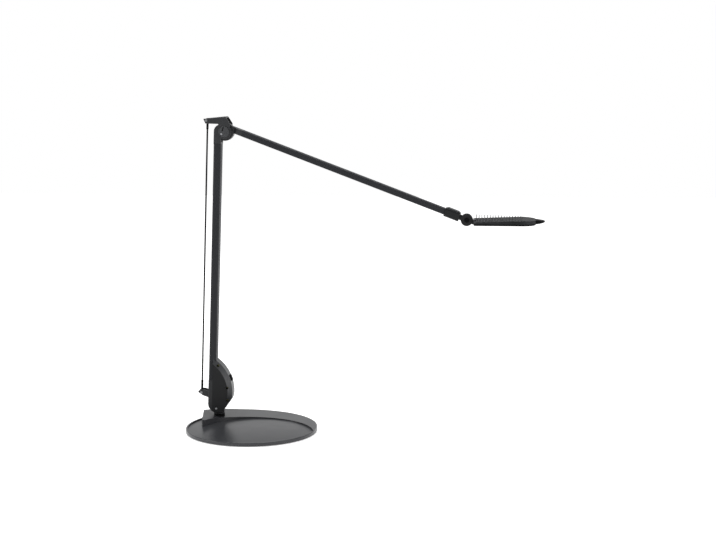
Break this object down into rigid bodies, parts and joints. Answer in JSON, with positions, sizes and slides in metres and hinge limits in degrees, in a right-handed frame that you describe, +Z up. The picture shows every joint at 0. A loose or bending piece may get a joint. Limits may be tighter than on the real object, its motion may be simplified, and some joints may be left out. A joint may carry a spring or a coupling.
{
  "type": "balanced-arm desk lamp",
  "caption": "Balanced-arm desk lamp: round base, tilting lower arm with spring housing and tie rod, upper arm, twisting neck and flat finned LED head.",
  "frame": {"origin": "centre of the base's underside, on the surface that the lamp stands on", "axes": "+Z up, +X towards the lamp head along the upper arm, -Y towards the viewer of the picture"},
  "size_m": [0.6286, 0.232, 0.5534],
  "materials": {
    "base_paint": "satin graphite paint on die-cast metal",
    "weight_iron": "as cast",
    "plate_steel": "zinc plated",
    "pad_rubber": "matt rubber",
    "zinc_screws": "bright zinc",
    "gland_rubber": "matt rubber",
    "collar_black": "moulded black",
    "bush_plastic": "acetal",
    "foot_paint": "satin black paint",
    "tube_paint": "satin graphite paint",
    "fitting_paint": "satin graphite paint on casting",
    "pin_steel": "turned",
    "housing_plastic": "moulded satin graphite",
    "brass_screws": "yellow passivated",
    "spring_steel": "oiled spring wire",
    "board_green": "circuit board",
    "button_plastic": "moulded black",
    "lever_paint": "satin black paint",
    "rod_steel": "drawn wire",
    "sleeve_black": "moulded black",
    "bracket_paint": "satin graphite paint",
    "cap_plastic": "moulded grey",
    "wrist_plastic": "moulded graphite",
    "neck_paint": "satin black paint",
    "hinge_paint": "satin black paint",
    "head_pin_black": "moulded black",
    "sink_aluminium": "black anodised",
    "tray_plastic": "moulded black",
    "board_white": "white solder mask",
    "led_yellow": "phosphor",
    "diffuser_white": "opal acrylic",
    "tab_plastic": "moulded black"
  },
  "bodies": {
    "base": {"base_cover": "base_paint", "base_weight": "weight_iron", "base_plate": "plate_steel", "base_pad": "pad_rubber", "base_screws": "zinc_screws", "cord_gland": "gland_rubber", "swivel_collar": "collar_black", "swivel_bush": "bush_plastic"},
    "foot": {"foot": "foot_paint", "swivel_washer": "plate_steel", "swivel_nut": "plate_steel", "tilt_washers": "bush_plastic"},
    "lower_arm": {"lower_tube": "tube_paint", "lower_fitting": "fitting_paint", "post_head": "fitting_paint", "cheek_screws": "zinc_screws", "tilt_pin": "pin_steel", "housing_near": "housing_plastic", "housing_far": "housing_plastic", "housing_screws": "brass_screws", "spring_anchor_pin": "pin_steel", "balance_spring": "spring_steel", "switch_board": "board_green"},
    "button": {"power_button": "button_plastic"},
    "balance_lever": {"balance_lever": "lever_paint", "lever_rod_pin": "pin_steel", "crank_pin": "pin_steel"},
    "tie_rod": {"tie_rod": "rod_steel", "rod_sleeve_upper": "sleeve_black", "rod_sleeve_lower": "sleeve_black"},
    "upper_arm": {"upper_tube": "tube_paint", "elbow_knuckle": "fitting_paint", "elbow_washers": "bush_plastic", "balance_bracket": "bracket_paint", "hub_screws": "zinc_screws", "elbow_pin": "pin_steel", "hub_caps": "cap_plastic", "bracket_pin": "pin_steel", "rod_spacers": "bush_plastic", "wrist_sleeve": "wrist_plastic", "sleeve_cap": "cap_plastic"},
    "neck": {"wrist_neck": "neck_paint", "neck_retainer": "plate_steel"},
    "head": {"head_hinge": "hinge_paint", "head_pin": "head_pin_black", "head_screws": "zinc_screws", "heat_sink": "sink_aluminium", "head_tray": "tray_plastic", "led_board": "board_white", "led_chips": "led_yellow", "diffuser": "diffuser_white", "front_tab": "tab_plastic"}
  },
  "joints": [
    {"name": "base_swivel", "type": "hinge", "parent": "base", "child": "foot", "pos_m": [-0.066, 0.048, 0.02], "axis": [0, 0, 1], "range_deg": [-90, 90]},
    {"name": "base_tilt", "type": "hinge", "parent": "foot", "child": "lower_arm", "pos_m": [-0.066, 0.048, 0.0385], "axis": [0, 1, 0], "range_deg": [-20, 30]},
    {"name": "elbow", "type": "hinge", "parent": "lower_arm", "child": "upper_arm", "pos_m": [-0.04893, 0.048, 0.5272], "axis": [0, -1, 0], "range_deg": [-23, 45]},
    {"name": "lever_turn", "type": "hinge", "parent": "lower_arm", "child": "balance_lever", "pos_m": [-0.066, 0.048, 0.0385], "axis": [0, -1, 0], "range_deg": [-23, 45], "deforming": ["balance_spring"]},
    {"name": "rod_turn", "type": "hinge", "parent": "upper_arm", "child": "tie_rod", "pos_m": [-0.08027, 0.048, 0.54691], "axis": [0, -1, 0], "range_deg": [-45, 23]},
    {"name": "wrist_twist", "type": "hinge", "parent": "upper_arm", "child": "neck", "pos_m": [0.37662, 0.048, 0.37464], "axis": [0.9351, 0, -0.3543], "range_deg": [-90, 90]},
    {"name": "head_tilt", "type": "hinge", "parent": "neck", "child": "head", "pos_m": [0.37662, 0.048, 0.37464], "axis": [0, 1, 0], "range_deg": [-45, 60]},
    {"name": "button_press", "type": "slide", "parent": "lower_arm", "child": "button", "axis": [-0.9397, 0, -0.342], "range_m": [0, 0.0012], "stiffness_N_per_m": 600}
  ],
  "couplings": [
    {"joint": "lever_turn", "follows": "elbow", "ratio": 1},
    {"joint": "rod_turn", "follows": "elbow", "ratio": -1}
  ]
}
